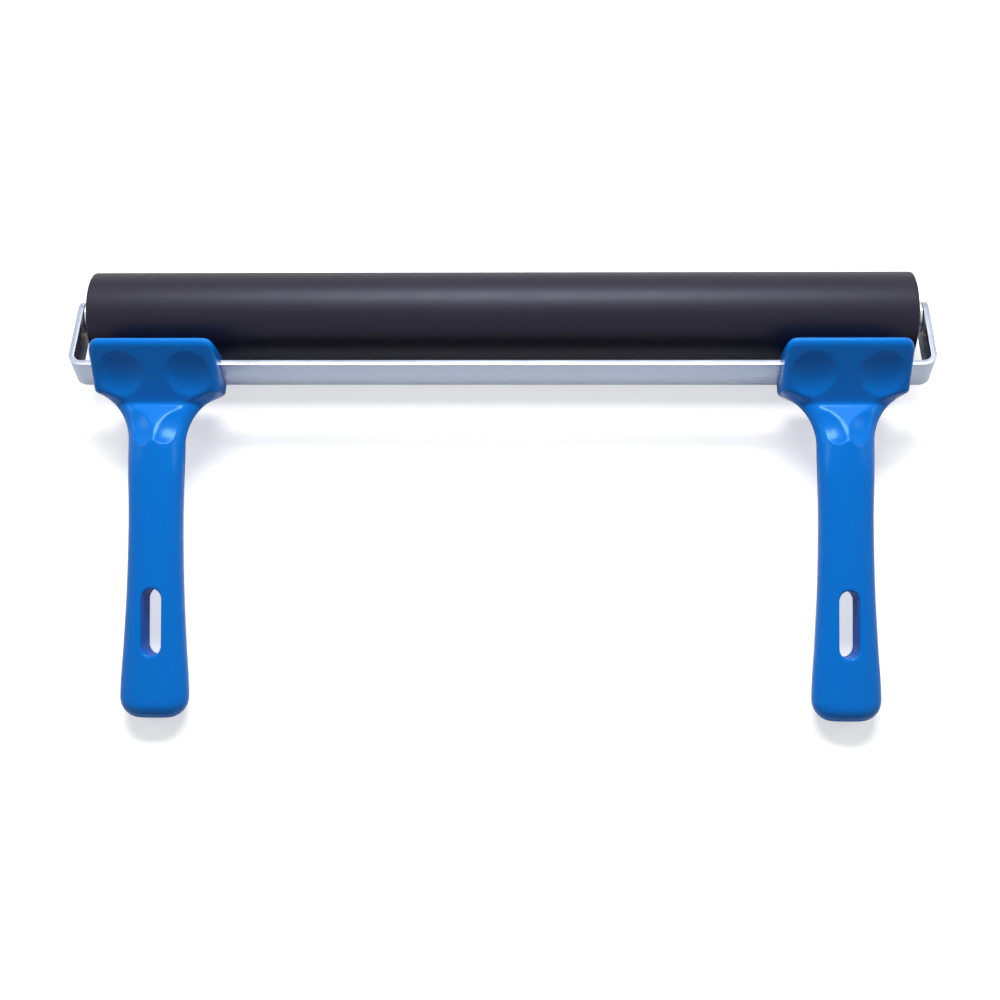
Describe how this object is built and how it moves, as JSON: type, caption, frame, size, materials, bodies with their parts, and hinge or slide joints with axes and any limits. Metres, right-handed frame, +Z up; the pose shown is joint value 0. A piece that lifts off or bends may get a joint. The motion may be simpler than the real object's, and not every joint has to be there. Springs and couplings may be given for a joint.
{
  "type": "two-handled rubber brayer",
  "caption": "Wide black rubber roller turning on a fixed axle in a bent steel strip, held by blue moulded plastic handles with hanging slots.",
  "frame": {"origin": "middle of the bounding box's underside; the tool lies on its roller and on both handle ends", "axes": "+X along the roller, +Y from the handle ends towards the roller, +Z up"},
  "size_m": [0.314, 0.1636, 0.0458],
  "materials": {
    "black_rubber": "smooth black rubber with a soft sheen",
    "core_steel": "plain steel tube",
    "plug_plastic": "black moulded plastic",
    "bush_bronze": "sintered bronze",
    "axle_steel": "bright steel, riveted ends",
    "washer_steel": "zinc-plated steel",
    "washer_nylon": "natural nylon",
    "zinc_strip": "zinc-plated steel strip, faint lengthwise streaks",
    "handle_plastic": "glossy blue moulded plastic",
    "plate_plastic": "glossy blue moulded plastic",
    "screw_zinc": "zinc-plated steel"
  },
  "bodies": {
    "frame": {"axle_rod": "axle_steel", "steel_washer_left": "washer_steel", "steel_washer_right": "washer_steel", "nylon_washer_left": "washer_nylon", "nylon_washer_right": "washer_nylon", "frame_strip": "zinc_strip", "handle_left": "handle_plastic", "handle_right": "handle_plastic", "clamp_plate_left": "plate_plastic", "clamp_plate_right": "plate_plastic", "clamp_screw_left_outer": "screw_zinc", "clamp_screw_left_inner": "screw_zinc", "clamp_screw_right_outer": "screw_zinc", "clamp_screw_right_inner": "screw_zinc"},
    "roller": {"rubber_sleeve": "black_rubber", "core_tube": "core_steel", "end_plug_left": "plug_plastic", "end_plug_right": "plug_plastic", "bearing_bush_left": "bush_bronze", "bearing_bush_right": "bush_bronze"}
  },
  "joints": [
    {"name": "roller_spin", "type": "hinge", "parent": "frame", "child": "roller", "pos_m": [0, 0.06554, 0.01625], "axis": [1, 0, 0], "continuous": true}
  ]
}
